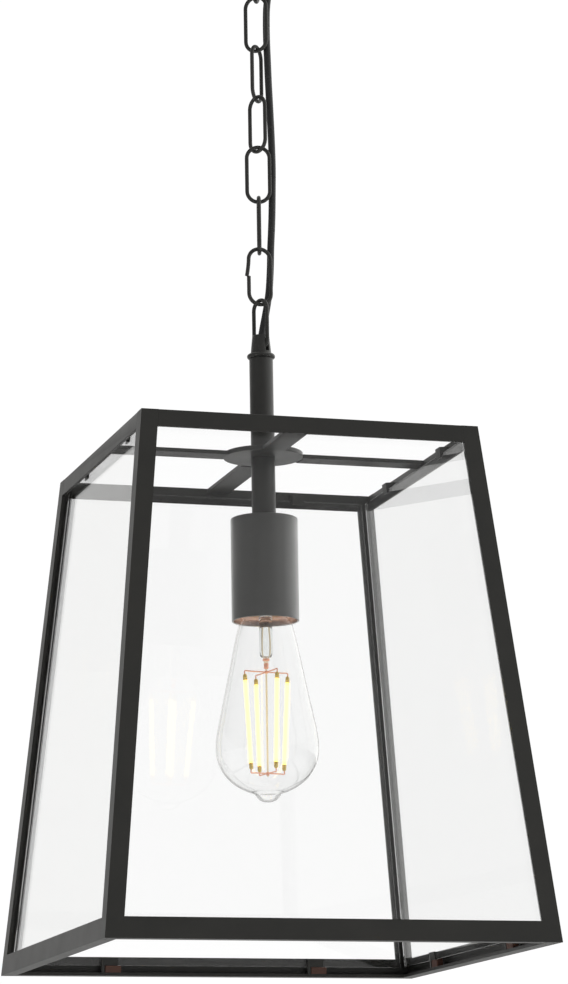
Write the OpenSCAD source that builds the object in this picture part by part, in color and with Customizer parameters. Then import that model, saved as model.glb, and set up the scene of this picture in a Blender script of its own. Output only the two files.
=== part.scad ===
// Hanging lantern: a tapered square frame with four glass panes on a link chain and ceiling canopy.
// The ceiling plane is z = 0 and the lantern hangs below it along the Z axis.

/* [Frame] */
// Outer side of the frame at its top
frame_top_w = 211; // [180:1:240]
// Outer side of the frame at its bottom
frame_bottom_w = 275; // [240:1:330]
// Height of the frame from top edge to bottom edge
frame_h = 315; // [260:1:380]
// Thickness of the frame's steel
steel_t = 2; // [1.5:0.1:2.4]
// Width of each leg of the corner angles
post_w = 10.5; // [10:0.5:16]
// Height of the top rails
top_rail_h = 10.5; // [9:0.1:14]
// Height of the bottom rails
bottom_rail_h = 12.5; // [10.5:0.5:16]
// Width of the lip that the bottom rails turn inwards
lip_w = 8.5; // [8.5:0.1:12]
// Width of the flat bars of the top cross
cross_w = 15; // [10:0.5:20]
// Thickness of the flat bars of the top cross
cross_t = 2.5; // [2:0.1:4]
// Diameter of the disc in the middle of the cross
disc_d = 50; // [40:1:70]
// Thickness of the disc
disc_t = 3; // [2.5:0.1:5]

/* [Glass] */
// Thickness of each pane
glass_t = 3; // [2:0.1:3.6]
// Distance from the inside of the steel to the outside of a pane
glass_gap = 2.5; // [2:0.1:2.8]
// Width of glass hidden behind the steel at each side
glass_lap = 1.5; // [1:0.1:1.5]
// Height of the panes' lower edges above the foot of the frame
glass_lift = 6.5; // [6:0.1:8]

/* [Clips] */
// Width of the tabs that hold the panes at the bottom
clip_w = 10.7; // [8:0.1:14]
// Width of the tabs that hold the panes at the top
top_clip_w = 8; // [6:0.5:12]
// Thickness of the tabs
clip_t = 1; // [0.8:0.1:1]
// Height of the flag of each bottom tab
flag_h = 5; // [4:0.5:8]

/* [Chain] */
// Diameter of the links' wire
wire_d = 2.5; // [2.2:0.1:2.8]
// Outer length of a link
link_l = 39; // [34:0.5:47]
// Outer width of a link
link_w = 17; // [16.5:0.5:21]
// Clearance between two links where one hangs on the other
link_gap = 0.2; // [0.15:0.05:0.3]

/* [Stem] */
// Diameter of the upper stem tube
stem_upper_d = 15; // [14:0.5:18]
// Diameter of the lower stem tube
stem_lower_d = 15; // [14:0.5:18]
// Wall of the stem tubes
stem_wall = 1; // [0.8:0.1:1.5]
// Length of the upper stem tube
stem_upper_l = 61.5; // [45:0.5:90]
// Length of the lower stem tube
stem_lower_l = 39; // [25:0.5:60]
// Height of the tapered cap on top of the stem
cap_h = 12; // [11:0.5:14.5]
// Diameter of the cap's top
cap_top_d = 10.8; // [10.4:0.1:11.4]
// Diameter of the cap's foot
cap_foot_d = 13.2; // [12.6:0.1:13.6]
// Outer length of the loop ring that stands in the cap
ring_l = 35; // [32:0.5:42]
// Outer width of the loop ring
ring_w = 15; // [14:0.5:16]
// Diameter of the bead collar under the cap
bead_d = 17.8; // [16.5:0.1:20]
// Height of the bead collar
bead_h = 3; // [2:0.2:4]

/* [Lampholder] */
// Outer diameter of the lampholder cup
cup_d = 42; // [41:0.5:51]
// Height of the lampholder cup
cup_h = 65; // [60:1:80]
// Wall of the lampholder cup
cup_wall = 1.2; // [0.8:0.1:1.6]
// Depth of the insulator's foot above the cup's mouth
holder_inset = 4; // [3:0.5:5]

/* [Bulb] */
// Largest diameter of the bulb's glass
bulb_d = 64; // [60:1:80]
// Thickness of the bulb's glass
bulb_wall = 1; // [0.6:0.1:1.2]
// Diameter of each light filament
filament_d = 2.4; // [1.6:0.1:3]

/* [Canopy] */
// Diameter of the ceiling canopy
canopy_d = 100; // [98:1:130]
// Depth of the ceiling canopy
canopy_h = 28; // [26:0.5:40]
// Thickness of the canopy's steel
canopy_t = 1.2; // [1:0.1:1.6]
// Distance between the two fixing holes of the ceiling bracket
fixing_pitch = 76; // [70:1:76]
// Diameter of the two fixing holes
fixing_hole_d = 4.8; // [4:0.1:6]

/* [Cord] */
// Diameter of the supply cord
cord_d = 4.6; // [4:0.1:4.8]

/* [Hidden] */

$fn = 48;
black = [0.17, 0.17, 0.165];
soft_black = [0.3, 0.3, 0.29];
brass = [0.78, 0.6, 0.35];
cut = 1; // how far a cutting solid runs past what it cuts
fit = 0.05; // radial clearance between pieces that are screwed or clamped together

// Ceiling fitting
rod_d = 10;
rod_bore_d = 7.6;
strap_t = 2;
strap_w = 20;
strap_l = fixing_pitch + 16;
nut_h = 5;
nut_d = 19.6; // across the corners
nipple_l = canopy_h + 5.5;
collar_d = 16;
collar_h = 8;
collar_taper = 3;
collar_bore_l = 5.8;
loop_wire_d = 4;
loop_r = 9;
loop_yaw = -30;
loop_z = -canopy_h - collar_h - 0.5 - loop_r;
canopy_round = 6;
cord_exit = [18, -1];
gland_thread_d = 9.2;
gland_thread_l = 6;
gland_flange_d = 14;
gland_flange_h = 3;
gland_l = 15; // from the canopy's face to the gland's foot
block_x = 12;
block_size = [20, 18, 12];
block_screw_d = 3.6;
block_screw_h = 1;
block_pitch = 6;
core_d = 1.8;
core_r = 1.2; // radius of the ring on which the cord's cores lie

// Chain
wire_r = wire_d / 2;
pitch = link_l - 2 * wire_d - link_gap;
link_count = 7;
link_yaws = [60, -40, 50, -65, -15, 75, 0];
first_link_z = loop_z - loop_r + loop_wire_d / 2 + wire_r + link_gap;
function link_top(i) = first_link_z - i * pitch;
last_link_z = link_top(link_count - 1) - link_l + wire_d;

// Loop ring and cap
ring_yaw = -65;
ring_top_z = last_link_z + wire_d + link_gap;
ring_run = ring_l - wire_d;
ring_foot_z = ring_top_z - ring_run;
cap_floor = 2.9; // from the ring's lowest centre line to the cap's foot
ring_rest = 0.4; // from the ring's wire to the rod's end
cap_foot_z = ring_foot_z - cap_floor;
rod_top_z = ring_foot_z - wire_r - ring_rest;
cap_bore_d = 8.4;

// Stem, disc and frame heights
disc_top_z = cap_foot_z - bead_h - stem_upper_l;
disc_foot_z = disc_top_z - disc_t;
cup_top_z = disc_foot_z - stem_lower_l;
cup_mouth_z = cup_top_z - cup_h;
bar_drop = 0.4; // how far the cross bars' underside is below the disc's
frame_top_z = disc_foot_z + cross_t - bar_drop;
frame_foot_z = frame_top_z - frame_h;

// Leaning faces of the frame
lean = atan((frame_bottom_w - frame_top_w) / 2 / frame_h);
face_h = frame_h / cos(lean);
edge_lean = atan((frame_bottom_w - frame_top_w) / 2 / face_h);
post_clear = 0.4; // from the inside of a post to the bottom lip
post_x = post_w / cos(edge_lean); // width of a post's leg along a level line
over = 4; // how far plates run past the frame before they are trimmed level
function half_at(down) = frame_top_w / 2 + down * tan(edge_lean);
pane_in = steel_t + glass_gap;
pane_out = pane_in + glass_t;
pane_side = post_x - glass_lap;
pane_top = top_rail_h - 4.5;
pane_foot = (frame_h - glass_lift - pane_out * sin(lean)) / cos(lean);
clip_in = pane_out + fit;
clip_places = [-1, 1];
clip_leg_w = 2;
clip_foot_l = 4;
top_clip_rise = 4;
top_clip_foot = top_rail_h - 2;
pad_shift = 2.4;
pad_side_gap = 0.2;

// Lampholder and bulb, as heights above the cup's mouth
holder_d = 36.8;
socket_top = 34;
plate_top = 40;
boss_top = 44;
rod_foot = 42;
core_foot = 39;
shell_r = 13.7;
shell_t = 0.7;
shell_foot = 5;
shell_top = 31;
contact_t = 2.7;
bulb_rim = 6;
bulb_top = 31;
cap_r = 13.2;
cap_wall = 0.4;
belly_z = cup_mouth_z + bulb_rim - 86;
belly_r = bulb_d / 2;
shoulder_arc_r = 62;
cone_angle = atan((belly_r - 18.6) / 64.7);
neck_r = 12.6;
neck_z = 86;
shoulder_r = 17.3;
side_arc_r = belly_r * 0.828;
side_angle = 50;
base_arc_r = (belly_r - side_arc_r) / cos(side_angle) + side_arc_r;
tip_r = 8;
tip_h = 4.3;
filament_count = 4;
filament_yaw = 10;
filament_top = [14.7, 45];
filament_foot = [11.3, -12];
lead_d = 0.8;
lead_rise = 3;
rod_wire_d = 1.2;
hub_d = 2;
hub_h = 1.6;
glass_stem_d = 8;
glass_stem_foot = 57;

// Route of the cord's centre line. Down from the terminal block: x, y, depth below the canopy's face
route_start = [[18, -1, -8], [18, -1, 4], [18, -1, gland_l]];
// Beside the chain: x, y, number of links below the top of the first link
route_beside = [
    [16.5, -1, 0.1], [12.6, -1, 0.47], [9, -0.9, 0.83], [7.2, -0.7, 1.18], [6.8, -0.5, 1.54],
    [6.9, -0.3, 1.9], [7.4, 0.1, 2.28], [7.8, 0.3, 2.66], [8.5, 0.6, 3.13], [9.2, 0.9, 3.64],
    [9.6, 1.1, 4.02], [9.8, 1.3, 4.41], [9.6, 1.6, 4.85], [9.3, 2, 5.3], [9, 2.8, 5.62],
    [8.6, 3.6, 5.95], [8.2, 4, 6.36], [7.3, 4.1, 6.75], [6, 4.1, 7.02]
];
// Through the loop ring into the cap: x, y, fraction of the ring's height below its top
route_end = [[4.4, 3.4, 0.26], [2.4, 1.7, 0.5], [0.8, 0.5, 0.72]];
route_scale = link_w / 17;
cord_foot_z = ring_foot_z + 2.15;
cord_path = [
    for (p = route_start) [p.x, p.y, -canopy_h - p.z],
    for (p = route_beside) [p.x * route_scale, p.y * route_scale, first_link_z - p.z * pitch],
    for (p = route_end) [p.x, p.y, ring_top_z - p.z * ring_run],
    [0, 0, cord_foot_z]
];
cord_sides = 10;

// ---------- shared shapes ----------

module tube(outer_d, bore_d, top_z, height) {
    translate([0, 0, top_z - height]) difference() {
        cylinder(h = height, d = outer_d);
        translate([0, 0, -cut]) cylinder(h = height + 2 * cut, d = bore_d);
    }
}

// Half ring of round wire in the XZ plane, open downwards
module wire_arch(radius) {
    rotate([90, 0, 0]) rotate_extrude(angle = 180) translate([radius, 0]) circle(d = wire_d);
}

// Long ring of the chain's wire, hanging from the middle of its top wire at z = 0
module wire_link(outer_l, outer_w) {
    arc_r = (outer_w - wire_d) / 2;
    foot = -outer_l + wire_d + arc_r;
    translate([0, 0, -arc_r]) wire_arch(arc_r);
    translate([0, 0, foot]) mirror([0, 0, 1]) wire_arch(arc_r);
    for (side = [-1, 1]) translate([side * arc_r, 0, foot]) cylinder(h = -arc_r - foot, d = wire_d);
}

// Round wire between two points
module wire_between(from, to, wire) {
    run = to - from;
    length = norm(run);
    translate(from)
        rotate([0, acos(run.z / length), atan2(run.y, run.x)])
            cylinder(h = length, d = wire);
}

// Hexagonal nut with its top at z = 0
module hex_nut(height) {
    translate([0, 0, -height]) difference() {
        cylinder(h = height, d = nut_d, $fn = 6);
        translate([0, 0, -cut]) cylinder(h = height + 2 * cut, d = rod_d + 2 * fit);
    }
}

// Puts a piece on one face: X runs along the face, Y into the lantern, Z up the slope from the top edge
module on_face(turn) {
    rotate(turn) translate([0, -frame_top_w / 2, frame_top_z]) rotate([-lean, 0, 0]) children();
}

// Flat plate in a face, from depth near to depth far, with its outline in the face's X and Z
module face_plate(near, far, outline) {
    translate([0, far, 0]) rotate([90, 0, 0]) linear_extrude(height = far - near) polygon(outline);
}

// Strip across a face, u to one side of its middle, with its section as points of inset and height
module face_strip(turn, u, width, section) {
    function level(p) = -frame_bottom_w / 2 + p[1] * tan(lean) + p[0] / cos(lean);
    rotate(turn) translate([u - width / 2, 0, frame_foot_z]) rotate([90, 0, 90])
        linear_extrude(height = width) polygon([for (p = section) [level(p), p[1]]]);
}

// Everything between the frame's top and bottom planes
module frame_slab() {
    translate([-frame_bottom_w, -frame_bottom_w, frame_foot_z])
        cube([2 * frame_bottom_w, 2 * frame_bottom_w, frame_h]);
}

// ---------- ceiling fitting ----------

module ceiling_bracket() {
    color("silver") translate([0, 0, -strap_t]) difference() {
        translate([-strap_l / 2, -strap_w / 2, 0]) cube([strap_l, strap_w, strap_t]);
        for (side = [-1, 1]) translate([side * fixing_pitch / 2, 0, -cut])
            cylinder(h = strap_t + 2 * cut, d = fixing_hole_d);
        translate([0, 0, -cut]) cylinder(h = strap_t + 2 * cut, d = rod_d + 2 * fit);
    }
}

module mount_nipple() {
    color("silver") tube(rod_d, rod_bore_d, 0, nipple_l);
}

module lock_nut() {
    color("silver") translate([0, 0, -strap_t]) hex_nut(nut_h);
}

// Half section of the canopy's outside or inside, with a rounded lower edge
function canopy_section(radius, depth, round_r) = [
    [0, 0], [radius, 0],
    for (a = [0:15:90]) [radius - round_r + round_r * cos(a), -depth + round_r - round_r * sin(a)],
    [0, -depth]
];

module canopy() {
    color(black) difference() {
        rotate_extrude() polygon(canopy_section(canopy_d / 2, canopy_h, canopy_round));
        rotate_extrude() polygon(canopy_section(canopy_d / 2 - canopy_t, canopy_h - canopy_t,
            canopy_round - canopy_t));
        translate([0, 0, -canopy_h - cut]) cylinder(h = canopy_t + 2 * cut, d = rod_d + 2 * fit);
        translate([cord_exit.x, cord_exit.y, -canopy_h - cut])
            cylinder(h = canopy_t + 2 * cut, d = gland_thread_d + 2 * fit);
    }
}

module canopy_loop() {
    color(black) {
        translate([0, 0, loop_z]) rotate(loop_yaw) rotate([90, 0, 0])
            rotate_extrude() translate([loop_r, 0]) circle(d = loop_wire_d);
        translate([0, 0, -canopy_h - collar_h]) difference() {
            union() {
                translate([0, 0, collar_taper]) cylinder(h = collar_h - collar_taper, d = collar_d);
                cylinder(h = collar_taper, d1 = collar_d - 5, d2 = collar_d);
            }
            translate([0, 0, collar_h - collar_bore_l])
                cylinder(h = collar_bore_l + cut, d = rod_d + 2 * fit);
        }
    }
}

module cord_gland() {
    translate([cord_exit.x, cord_exit.y, -canopy_h]) color(soft_black) difference() {
        union() {
            cylinder(h = gland_thread_l, d = gland_thread_d);
            translate([0, 0, -gland_flange_h]) cylinder(h = gland_flange_h, d = gland_flange_d);
            translate([0, 0, -gland_l]) cylinder(h = gland_l - gland_flange_h, d1 = 8, d2 = 12);
        }
        translate([0, 0, -gland_l - cut])
            cylinder(h = gland_l + gland_thread_l + 2 * cut, d = cord_d + 2 * fit);
    }
}

module terminal_block() {
    color("ivory") translate([block_x, -block_size.y / 2, -strap_t - block_size.z]) cube(block_size);
}

module block_screws() {
    color(brass) for (side = [-1:1])
        translate([block_x + 14, side * block_pitch, -strap_t - block_size.z - block_screw_h])
            difference() {
                cylinder(h = block_screw_h, d = block_screw_d);
                translate([-2, -0.25, -cut]) cube([4, 0.5, 0.4 + cut]);
            }
}

module canopy_cores() {
    top = -strap_t - block_size.z;
    color("ivory") for (a = [30, 150, 270])
        translate([cord_exit.x + core_r * cos(a), cord_exit.y + core_r * sin(a), cord_path[0].z])
            cylinder(h = top - cord_path[0].z, d = core_d);
}

// ---------- cord ----------

function along(i) =
    let (a = cord_path[max(i - 1, 0)], b = cord_path[min(i + 1, len(cord_path) - 1)])
    (b - a) / norm(b - a);
function across(t) = let (c = cross([0, 1, 0], t)) c / norm(c);
function cord_ring(i) =
    let (t = along(i), u = across(t), v = cross(t, u))
    [for (k = [0:cord_sides - 1])
        cord_path[i] + cord_d / 2 * (cos(360 * k / cord_sides) * u + sin(360 * k / cord_sides) * v)];

module cord() {
    last = (len(cord_path) - 1) * cord_sides;
    color([0.13, 0.13, 0.13]) polyhedron(
        points = [for (i = [0:len(cord_path) - 1]) each cord_ring(i)],
        faces = [
            [for (k = [0:cord_sides - 1]) k],
            for (i = [0:len(cord_path) - 2]) for (k = [0:cord_sides - 1])
                let (a = i * cord_sides, n = (k + 1) % cord_sides)
                [a + k, a + cord_sides + k, a + cord_sides + n, a + n],
            [for (k = [cord_sides - 1:-1:0]) last + k]
        ]
    );
}

// ---------- chain and loop ring ----------

module link(i) {
    color(black) translate([0, 0, link_top(i)]) rotate(link_yaws[i]) wire_link(link_l, link_w);
}

module loop_ring() {
    color(black) translate([0, 0, ring_top_z]) rotate(ring_yaw) wire_link(ring_l, ring_w);
}

// ---------- stem ----------

module loop_cap() {
    slot_w = wire_d + 2 * fit;
    color(black) difference() {
        translate([0, 0, cap_foot_z]) cylinder(h = cap_h, d1 = cap_foot_d, d2 = cap_top_d);
        translate([0, 0, rod_top_z]) cylinder(h = 2 * cap_h, d = cap_bore_d);
        translate([0, 0, cap_foot_z - cut])
            cylinder(h = rod_top_z - cap_foot_z + cut, d = rod_d + 2 * fit);
        rotate(ring_yaw) translate([-cap_foot_d, -slot_w / 2, ring_foot_z - slot_w / 2])
            cube([2 * cap_foot_d, slot_w, cap_h]);
    }
}

module bead_collar() {
    color(black) translate([0, 0, cap_foot_z - bead_h / 2]) rotate_extrude() {
        translate([rod_d / 2 + fit, -bead_h / 2])
            square([bead_d / 2 - bead_h / 2 - rod_d / 2 - fit, bead_h]);
        intersection() {
            translate([bead_d / 2 - bead_h / 2, 0]) circle(d = bead_h);
            translate([bead_d / 2 - bead_h / 2, -bead_h / 2]) square(bead_h);
        }
    }
}

module upper_tube() {
    color(black) tube(stem_upper_d, stem_upper_d - 2 * stem_wall, cap_foot_z - bead_h, stem_upper_l);
}

module lower_tube() {
    color(black) tube(stem_lower_d, stem_lower_d - 2 * stem_wall, disc_foot_z, stem_lower_l);
}

module stem_rod() {
    color("silver") tube(rod_d, rod_bore_d, rod_top_z, rod_top_z - cup_mouth_z - rod_foot);
}

module centre_disc() {
    color(black) tube(disc_d, rod_d + 2 * fit, disc_top_z, disc_t);
}

// ---------- frame ----------

// Flat bar from the disc's rim to the inside of one top rail
module cross_bar(turn) {
    color(black) difference() {
        rotate(turn) translate([-cross_w / 2, -frame_top_w / 2, frame_top_z - cross_t])
            cube([cross_w, frame_top_w / 2, cross_t]);
        translate([0, 0, disc_foot_z - 2 * cut]) cylinder(h = 3 * cross_t + cut, d = disc_d);
        on_face(turn) face_plate(-over, steel_t, [
            [-cross_w, over], [cross_w, over], [cross_w, -2 * over], [-cross_w, -2 * over]
        ]);
    }
}

module cross_bars_left_right() {
    cross_bar(90);
    cross_bar(270);
}

module cross_bars_front_back() {
    cross_bar(0);
    cross_bar(180);
}

// Leg of a corner angle in one face: hand = 1 at the face's right end, -1 at its left
module post_leg(hand) {
    face_plate(0, steel_t, [
        [hand * half_at(-over), over], [hand * (half_at(-over) - post_x), over],
        [hand * (half_at(face_h + over) - post_x), -face_h - over],
        [hand * half_at(face_h + over), -face_h - over]
    ]);
}

module post(turn) {
    color(black) intersection() {
        union() {
            on_face(turn) post_leg(1);
            on_face(turn + 90) post_leg(-1);
        }
        frame_slab();
    }
}

module top_rail(turn) {
    color(black) intersection() {
        on_face(turn) face_plate(0, steel_t, [
            [-half_at(-over) + post_x, over], [half_at(-over) - post_x, over],
            [half_at(top_rail_h) - post_x, -top_rail_h], [-half_at(top_rail_h) + post_x, -top_rail_h]
        ]);
        frame_slab();
    }
}

// Mitred lip: its outer edge is inside the rail, and clear of the posts beyond it
module lip_outline() {
    side = frame_bottom_w / 2;
    near = side - steel_t - post_clear;
    rail_end = side - post_x - steel_t * tan(lean);
    polygon([
        [-rail_end, -side + steel_t / 2], [rail_end, -side + steel_t / 2],
        [rail_end, -near], [near, -near], [side - lip_w, -side + lip_w],
        [-side + lip_w, -side + lip_w], [-near, -near], [-rail_end, -near]
    ]);
}

module bottom_rail(turn) {
    rise = face_h - bottom_rail_h;
    color(black) intersection() {
        union() {
            on_face(turn) face_plate(0, steel_t, [
                [-half_at(rise) + post_x, -rise], [half_at(rise) - post_x, -rise],
                [half_at(face_h + over) - post_x, -face_h - over],
                [-half_at(face_h + over) + post_x, -face_h - over]
            ]);
            rotate(turn) translate([0, 0, frame_foot_z]) linear_extrude(height = steel_t)
                lip_outline();
        }
        frame_slab();
    }
}

module pane(turn) {
    color([0.8, 0.9, 0.92, 0.3]) on_face(turn) face_plate(pane_in, pane_out, [
        [-half_at(pane_top) + pane_side, -pane_top], [half_at(pane_top) - pane_side, -pane_top],
        [half_at(pane_foot) - pane_side, -pane_foot], [-half_at(pane_foot) + pane_side, -pane_foot]
    ]);
}

// U tab over a pane's top edge, seen from its side
module top_clip() {
    saddle = pane_top - 0.2;
    translate([-top_clip_w / 2, 0, 0]) rotate([90, 0, 90]) linear_extrude(height = top_clip_w)
        polygon([
            [steel_t, -saddle + top_clip_rise], [clip_in + clip_t, -saddle + top_clip_rise],
            [clip_in + clip_t, -top_clip_foot], [clip_in, -top_clip_foot], [clip_in, -saddle],
            [pane_in - fit, -saddle], [pane_in - fit, -saddle - 1], [steel_t, -saddle - 1]
        ]);
}

module top_clips() {
    color(black) for (turn = [0:90:270]) on_face(turn) for (place = clip_places)
        translate([place * frame_top_w / 4, 0, 0]) top_clip();
}

// Tab on the bottom lip: a foot and a leg beside the pad, with a flag against the pane
module bottom_clip(turn, u) {
    foot_in = clip_in - clip_foot_l;
    flag_top = glass_lift + flag_h;
    leg_u = u + (clip_w - clip_leg_w) / 2;
    face_strip(turn, leg_u, clip_leg_w, [
        [foot_in, steel_t], [clip_in + clip_t, steel_t], [clip_in + clip_t, flag_top],
        [clip_in, flag_top], [clip_in, steel_t + clip_t], [foot_in, steel_t + clip_t]
    ]);
    face_strip(turn, u, clip_w, [
        [clip_in, glass_lift], [clip_in + clip_t, glass_lift], [clip_in + clip_t, flag_top],
        [clip_in, flag_top]
    ]);
}

module bottom_clips() {
    color(black) for (turn = [0:90:270]) for (place = clip_places)
        bottom_clip(turn, place * frame_bottom_w / 4);
}

module glass_pads() {
    near = pane_in - 0.5;
    far = clip_in + clip_t - pad_side_gap;
    function edge_at(inset) = glass_lift + (pane_out - inset) * sin(lean);
    color([0.45, 0.24, 0.17]) for (turn = [0:90:270]) for (place = clip_places)
        face_strip(turn, place * frame_bottom_w / 4 - pad_shift, clip_w - pad_side_gap, [
            [near, steel_t], [far, steel_t], [far, edge_at(far)], [near, edge_at(near)]
        ]);
}

// ---------- lampholder ----------

module lampholder_cup() {
    color(soft_black) difference() {
        translate([0, 0, cup_mouth_z]) cylinder(h = cup_h, d = cup_d);
        translate([0, 0, cup_mouth_z - cut])
            cylinder(h = cup_h - cup_wall + cut, d = cup_d - 2 * cup_wall);
        translate([0, 0, cup_top_z - cup_wall - cut])
            cylinder(h = cup_wall + 2 * cut, d = rod_d + 2 * fit);
    }
}

module cup_nut() {
    color("silver") translate([0, 0, cup_top_z - cup_wall]) hex_nut(nut_h);
}

module lampholder_body() {
    color("antiquewhite") translate([0, 0, cup_mouth_z]) difference() {
        union() {
            translate([0, 0, holder_inset]) cylinder(h = plate_top - holder_inset, d = holder_d);
            translate([0, 0, plate_top]) cylinder(h = boss_top - plate_top, d = 15);
        }
        cylinder(h = socket_top, r = shell_r + shell_t);
        translate([0, 0, rod_foot]) cylinder(h = boss_top - rod_foot + cut, d = rod_d + 2 * fit);
        translate([0, 0, core_foot]) cylinder(h = boss_top - core_foot, d = rod_bore_d);
    }
}

module screw_shell() {
    color(brass) tube(2 * (shell_r + shell_t), 2 * shell_r, cup_mouth_z + shell_top,
        shell_top - shell_foot);
}

module centre_contact() {
    color(brass) translate([0, 0, cup_mouth_z + socket_top - contact_t])
        cylinder(h = contact_t, d = 9);
}

module terminal_screws() {
    color(brass) for (side = [-1, 1])
        translate([side * 12, 0, cup_mouth_z + plate_top]) difference() {
            cylinder(h = 3.4, d = 6);
            translate([-4, -0.4, 2.4]) cube([8, 0.8, 2]);
        }
}

module stem_cores() {
    top = cord_foot_z - 0.3;
    foot = cup_mouth_z + core_foot;
    color("ivory") rotate(ring_yaw) for (p = [[-1.2, 2.4], [1.2, 2.4], [0, -2.4]])
        translate([p.x, p.y, foot]) cylinder(h = top - foot, d = core_d);
}

// ---------- bulb ----------

// Half outline of the bulb's glass, from the neck round to the tip, drawn inwards by a wall
function bulb_outline(wall) =
    let (
        cone_r = belly_r - shoulder_arc_r + shoulder_arc_r * cos(cone_angle),
        cone_z = shoulder_arc_r * sin(cone_angle),
        shoulder_z = cone_z + (cone_r - shoulder_r) / tan(cone_angle),
        base_c = (side_arc_r - base_arc_r) * sin(side_angle),
        base_z = -base_c - base_arc_r
    )
    [
        [neck_r - wall, neck_z],
        [neck_r - wall, neck_z - 1.5],
        [shoulder_r - wall, shoulder_z],
        for (a = [cone_angle:-cone_angle / 5:0.1])
            [belly_r - shoulder_arc_r + (shoulder_arc_r - wall) * cos(a),
                (shoulder_arc_r - wall) * sin(a)],
        for (a = [0:-5:-side_angle])
            [belly_r - side_arc_r + (side_arc_r - wall) * cos(a), (side_arc_r - wall) * sin(a)],
        for (a = [-side_angle - 5:-5:-75])
            [(base_arc_r - wall) * cos(a), -base_c + (base_arc_r - wall) * sin(a)],
        for (a = [-15:-15:-75])
            [(tip_r - wall) * cos(a), base_z + 1.2 + wall + (tip_h + 1.2) * sin(a)],
        [0, base_z - tip_h + wall]
    ];

module bulb_glass() {
    outer = bulb_outline(0);
    inner = bulb_outline(bulb_wall);
    color([0.9, 0.93, 0.93, 0.3]) translate([0, 0, belly_z]) rotate_extrude()
        polygon([for (p = outer) p, for (i = [len(inner) - 1:-1:0]) inner[i]]);
}

module bulb_cap() {
    color("silver") tube(2 * cap_r, 2 * (cap_r - cap_wall), cup_mouth_z + 28, 28 - bulb_rim);
}

module cap_insulator() {
    color([0.12, 0.12, 0.12]) translate([0, 0, cup_mouth_z + 27]) difference() {
        cylinder(h = 3.5, r1 = cap_r - cap_wall - fit, r2 = 6);
        translate([0, 0, -cut]) cylinder(h = 3.5 + 2 * cut, d = 8);
    }
}

module cap_contact() {
    color(brass) translate([0, 0, cup_mouth_z + bulb_top - 2]) cylinder(h = 2, d1 = 7.8, d2 = 5);
}

module glass_stem() {
    flare = 3;
    color([0.85, 0.9, 0.9, 0.4]) translate([0, 0, belly_z]) {
        translate([0, 0, glass_stem_foot])
            cylinder(h = neck_z - flare - glass_stem_foot, d = glass_stem_d);
        translate([0, 0, neck_z - flare])
            cylinder(h = flare, d1 = glass_stem_d, r2 = neck_r - bulb_wall - fit);
    }
}

// Point on the circle of filaments: end is its radius and its height above the bulb's widest level
function filament_point(i, end, rise = 0) =
    let (a = filament_yaw + 360 * i / filament_count)
    [end[0] * cos(a), end[0] * sin(a), end[1] + rise];

module filaments() {
    color([1, 0.85, 0.45]) translate([0, 0, belly_z]) for (i = [0:filament_count - 1])
        wire_between(filament_point(i, filament_foot), filament_point(i, filament_top), filament_d);
}

// Star of wires from the centre rod: level arms, and a post from each arm to one end of a filament
module filament_star(end, rise) {
    gap = 0.15;
    post_h = abs(rise) + lead_d - gap;
    post_low = rise > 0 ? end[1] + gap : end[1] + rise - lead_d;
    translate([0, 0, end[1] + rise - hub_h / 2]) cylinder(h = hub_h, d = hub_d);
    for (i = [0:filament_count - 1]) {
        tip = filament_point(i, end, rise);
        wire_between([0, 0, tip.z], tip, lead_d);
        translate([tip.x, tip.y, post_low]) cylinder(h = post_h, d = lead_d + 0.4);
    }
}

module filament_wires() {
    foot = filament_foot[1] - 5;
    color([0.75, 0.5, 0.35]) translate([0, 0, belly_z]) {
        translate([0, 0, foot]) cylinder(h = glass_stem_foot - foot, d = rod_wire_d);
        filament_star(filament_top, lead_rise);
        filament_star(filament_foot, -lead_rise);
    }
}

ceiling_bracket();
mount_nipple();
lock_nut();
canopy();
canopy_loop();
cord_gland();
terminal_block();
block_screws();
canopy_cores();
cord();
link(0);  // link_1
link(1);  // link_2
link(2);  // link_3
link(3);  // link_4
link(4);  // link_5
link(5);  // link_6
link(6);  // link_7
loop_ring();
loop_cap();
bead_collar();
upper_tube();
lower_tube();
stem_rod();
centre_disc();
cross_bars_left_right();
cross_bars_front_back();
post(0);  // post_front_right
post(90);  // post_back_right
post(180);  // post_back_left
post(270);  // post_front_left
top_rail(0);  // top_rail_front
top_rail(90);  // top_rail_right
top_rail(180);  // top_rail_back
top_rail(270);  // top_rail_left
bottom_rail(0);  // bottom_rail_front
bottom_rail(90);  // bottom_rail_right
bottom_rail(180);  // bottom_rail_back
bottom_rail(270);  // bottom_rail_left
pane(0);  // pane_front
pane(90);  // pane_right
pane(180);  // pane_back
pane(270);  // pane_left
top_clips();
bottom_clips();
glass_pads();
lampholder_cup();
cup_nut();
lampholder_body();
screw_shell();
centre_contact();
terminal_screws();
stem_cores();
bulb_glass();
bulb_cap();
cap_insulator();
cap_contact();
glass_stem();
filaments();
filament_wires();
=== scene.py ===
import math

import bpy
from mathutils import Matrix, Vector


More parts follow.
